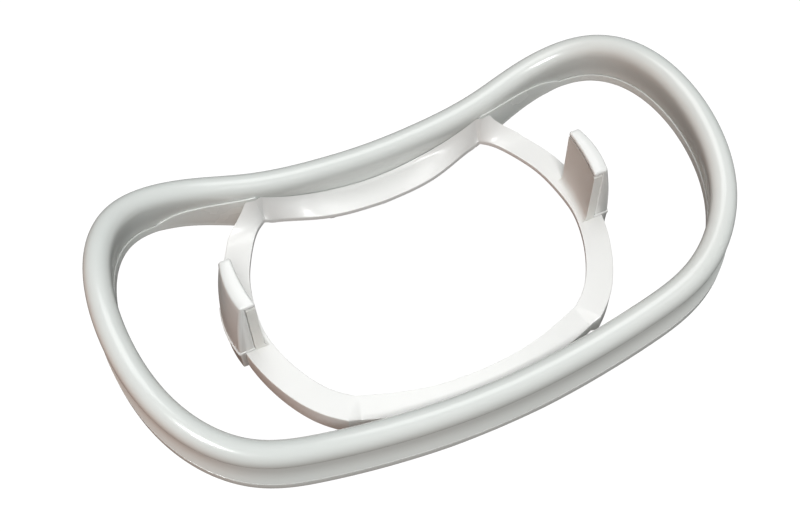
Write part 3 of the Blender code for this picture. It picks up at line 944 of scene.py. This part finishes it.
def make_sweep():
    """Floor that curves up all round into a pale backdrop. Only the camera sees it."""
    outline = [(0.0, 0.0), (SWEEP_FLOOR_RADIUS, 0.0)]
    for step in range(1, SWEEP_CURVE_STEPS + 1):
        angle = math.pi / 2 * step / SWEEP_CURVE_STEPS
        reach = SWEEP_FLOOR_RADIUS + SWEEP_CURVE_RADIUS * math.sin(angle)
        outline.append((reach, SWEEP_CURVE_RADIUS * (1 - math.cos(angle))))
    outline.append((outline[-1][0], SWEEP_HEIGHT))
    vertices, faces = [(0.0, 0.0, 0.0)], []
    for radius, up in outline[1:]:
        for step in range(SWEEP_SIDES):
            angle = 2 * math.pi * step / SWEEP_SIDES
            vertices.append((radius * math.cos(angle), radius * math.sin(angle), up))
    for step in range(SWEEP_SIDES):
        beside = (step + 1) % SWEEP_SIDES
        faces.append((0, 1 + step, 1 + beside))
        for ring in range(len(outline) - 2):
            low, high = 1 + ring * SWEEP_SIDES, 1 + (ring + 1) * SWEEP_SIDES
            faces.append((low + step, high + step, high + beside, low + beside))
    mesh = bpy.data.meshes.new("sweep")
    mesh.from_pydata(vertices, [], faces)
    mesh.materials.append(sweep_paper())
    for face in mesh.polygons:
        face.use_smooth = True
    sweep = link("sweep", mesh)
    sweep.location.z = -SWEEP_DROP
    sweep.visible_diffuse = False
    sweep.visible_glossy = False
    sweep.visible_transmission = False
    sweep.visible_shadow = False


def add_softbox(name, place, size, watts):
    """White softbox aimed at the part."""
    light = bpy.data.lights.new(name, "AREA")
    light.shape = "RECTANGLE"
    light.size, light.size_y = size
    light.energy = watts
    box = link(name, light)
    box.location = place
    box.rotation_euler = (-Vector(place)).to_track_quat("-Z", "Y").to_euler()
    box.visible_camera = False


def glow(strength, hex_colour):
    return [strength * channel for channel in linear(hex_colour)]


def room_light():
    """Even room light, greyer from below, with warm wooden furniture low on the left."""
    world = bpy.data.worlds.new("room")
    bpy.context.scene.world = world
    world.use_nodes = True
    tree = world.node_tree
    direction = add_node(tree, "ShaderNodeTexCoord").outputs["Generated"]
    part = add_node(tree, "ShaderNodeSeparateXYZ", {}, {"Vector": direction}).outputs
    leftness, lowness = (
        add_node(
            tree, "ShaderNodeMapRange", {"From Min": least, "From Max": most}, {"Value": part[axis]}
        ).outputs["Result"]
        for axis, least, most in (("X", -0.35, -0.9), ("Z", 0.5, 0.0))
    )
    wood = add_node(
        tree, "ShaderNodeMath", {"operation": "MULTIPLY", "use_clamp": True},
        {0: leftness, 1: lowness},
    )
    walls = add_node(tree, "ShaderNodeMix", {"data_type": "RGBA"}, {"Factor": lowness})
    walls.inputs[MIX_FIRST].default_value = glow(ROOM_STRENGTH, "#F2F6F6")
    walls.inputs[MIX_SECOND].default_value = glow(ROOM_STRENGTH, "#C6C8C6")
    room = add_node(
        tree, "ShaderNodeMix", {"data_type": "RGBA"},
        {"Factor": wood.outputs["Value"], MIX_FIRST: walls.outputs[MIX_RESULT]},
    )
    room.inputs[MIX_SECOND].default_value = glow(WOOD_STRENGTH, "#96582A")
    colour = tree.nodes["Background"].inputs["Color"]
    tree.links.new(room.outputs[MIX_RESULT], colour)


def light_scene():
    room_light()
    add_softbox("front_softbox", FRONT_PLACE, FRONT_SIZE, FRONT_WATTS)
    add_softbox("back_softbox", BACK_PLACE, BACK_SIZE, BACK_WATTS)


def add_camera():
    camera = bpy.data.cameras.new("camera")
    camera.lens = CAMERA_LENS
    camera.sensor_width = CAMERA_SENSOR
    camera.clip_start = 10 * MM
    holder = link("camera", camera)
    rows = zip(CAMERA_RIGHT, CAMERA_UP, CAMERA_BACK, CAMERA_PLACE)
    holder.matrix_world = Matrix([*rows, (0, 0, 0, 1)])
    bpy.context.scene.camera = holder


# ---------------------------------------------------------------- the object


def place_piece(piece, finish, node):
    piece.data.materials.clear()
    piece.data.materials.append(finish)
    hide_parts(node)
    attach(piece, "root")


def main():
    rim_finish = moulded_plastic(
        "injection_moulded_abs_polished", "#E1E4E1", "#DBDFDC", 0.22, 0.35, 6.0, 0.05
    )
    base_finish = moulded_plastic(
        "injection_moulded_abs_gloss_base", "#E3E6E3", "#DDE0DD", 0.26, 0.3, 5.0, 0.05
    )
    ring_finish = moulded_plastic(
        "injection_moulded_abs_satin", "#EEEEEC", "#EAEAE8", 0.34, 0.15, 3.0, 0.03
    )
    core_finish = moulded_plastic(
        "injection_moulded_abs_satin_core", "#EAEAE6", "#E5E4DF", 0.36, 0.1, 2.5, 0.03
    )
    cap_finish = moulded_plastic(
        "injection_moulded_abs_polished_cap", "#ECEDEB", "#E8E9E7", 0.24, 0.3, 3.0, 0.03
    )
    place_piece(make_rim_shell(rim_finish), rim_finish, "rim_shell")
    place_piece(make_base_loop(), base_finish, "base_loop")
    place_piece(make_guide_ring(), ring_finish, "guide_ring")
    for name, side in (("left", -1), ("right", 1)):
        core = make_post_core(name + "_post_core_moulding", side)
        place_piece(core, core_finish, name + "_post_core")
        cap = make_post_cap(name + "_post_cap_moulding", side)
        place_piece(cap, cap_finish, name + "_post_cap")
    make_sweep()
    light_scene()
    add_camera()
    bpy.context.scene.view_settings.view_transform = "Standard"


main()
